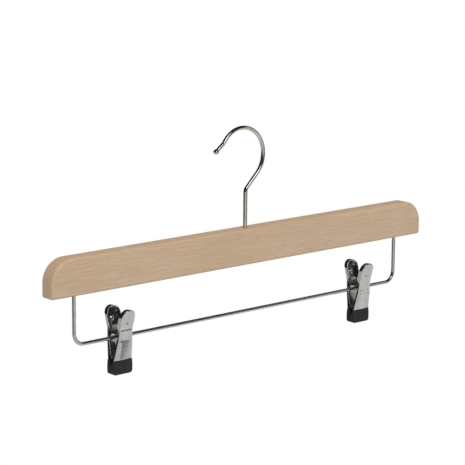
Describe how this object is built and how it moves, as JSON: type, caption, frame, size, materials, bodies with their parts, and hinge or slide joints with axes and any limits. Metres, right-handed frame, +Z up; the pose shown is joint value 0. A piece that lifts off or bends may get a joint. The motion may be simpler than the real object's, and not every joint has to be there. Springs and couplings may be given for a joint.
{
  "type": "trouser hanger",
  "caption": "Flat wooden bar with a swivelling wire hook above and a wire below it that carries two sprung metal clips with rubber pads.",
  "frame": {"origin": "rail seat: the highest point inside the hook's crook, where the rail touches it", "axes": "+X along the wooden bar to the right as seen from the front, -Y is the front, +Z up"},
  "size_m": [0.38, 0.0252, 0.1762],
  "materials": {
    "beech": "smooth planed beech under a thin matt lacquer",
    "hook_wire": "bright plated wire",
    "clip_wire": "bright plated wire",
    "washer_steel": "plain zinc plated",
    "jaw_steel": "bright plated pressed sheet",
    "spring_steel": "bright plated spring wire",
    "black_rubber": "matt dipped rubber"
  },
  "bodies": {
    "hook": {"hook": "hook_wire"},
    "hanger": {"wood_bar": "beech", "clip_bar": "clip_wire", "hook_washer": "washer_steel"},
    "left_slider": {"left_spring": "spring_steel"},
    "left_back": {"left_back_jaw": "jaw_steel", "left_back_pad": "black_rubber"},
    "left_front": {"left_front_jaw": "jaw_steel", "left_front_pad": "black_rubber"},
    "right_slider": {"right_spring": "spring_steel"},
    "right_back": {"right_back_jaw": "jaw_steel", "right_back_pad": "black_rubber"},
    "right_front": {"right_front_jaw": "jaw_steel", "right_front_pad": "black_rubber"}
  },
  "joints": [
    {"name": "hook_swivel", "type": "hinge", "parent": "hook", "child": "hanger", "pos_m": [0.004, 0, -0.077], "axis": [0, 0, 1], "continuous": true},
    {"name": "left_clip_slide", "type": "slide", "parent": "hanger", "child": "left_slider", "axis": [1, 0, 0], "range_m": [-0.0275, 0.113]},
    {"name": "left_clip_swing", "type": "hinge", "parent": "left_slider", "child": "left_back", "pos_m": [-0.1195, 0, -0.1445], "axis": [1, 0, 0], "continuous": true},
    {"name": "left_squeeze", "type": "hinge", "parent": "left_back", "child": "left_front", "pos_m": [-0.1195, 0, -0.1445], "axis": [-1, 0, 0], "range_deg": [0, 36], "stiffness_Nm_per_rad": 0.04, "springref_deg": -57.3, "deforming": ["left_spring"]},
    {"name": "right_clip_slide", "type": "slide", "parent": "hanger", "child": "right_slider", "axis": [1, 0, 0], "range_m": [-0.1151, 0.0254]},
    {"name": "right_clip_swing", "type": "hinge", "parent": "right_slider", "child": "right_back", "pos_m": [0.1296, 0, -0.1445], "axis": [1, 0, 0], "continuous": true},
    {"name": "right_squeeze", "type": "hinge", "parent": "right_back", "child": "right_front", "pos_m": [0.1296, 0, -0.1445], "axis": [-1, 0, 0], "range_deg": [0, 36], "stiffness_Nm_per_rad": 0.04, "springref_deg": -57.3, "deforming": ["right_spring"]}
  ]
}
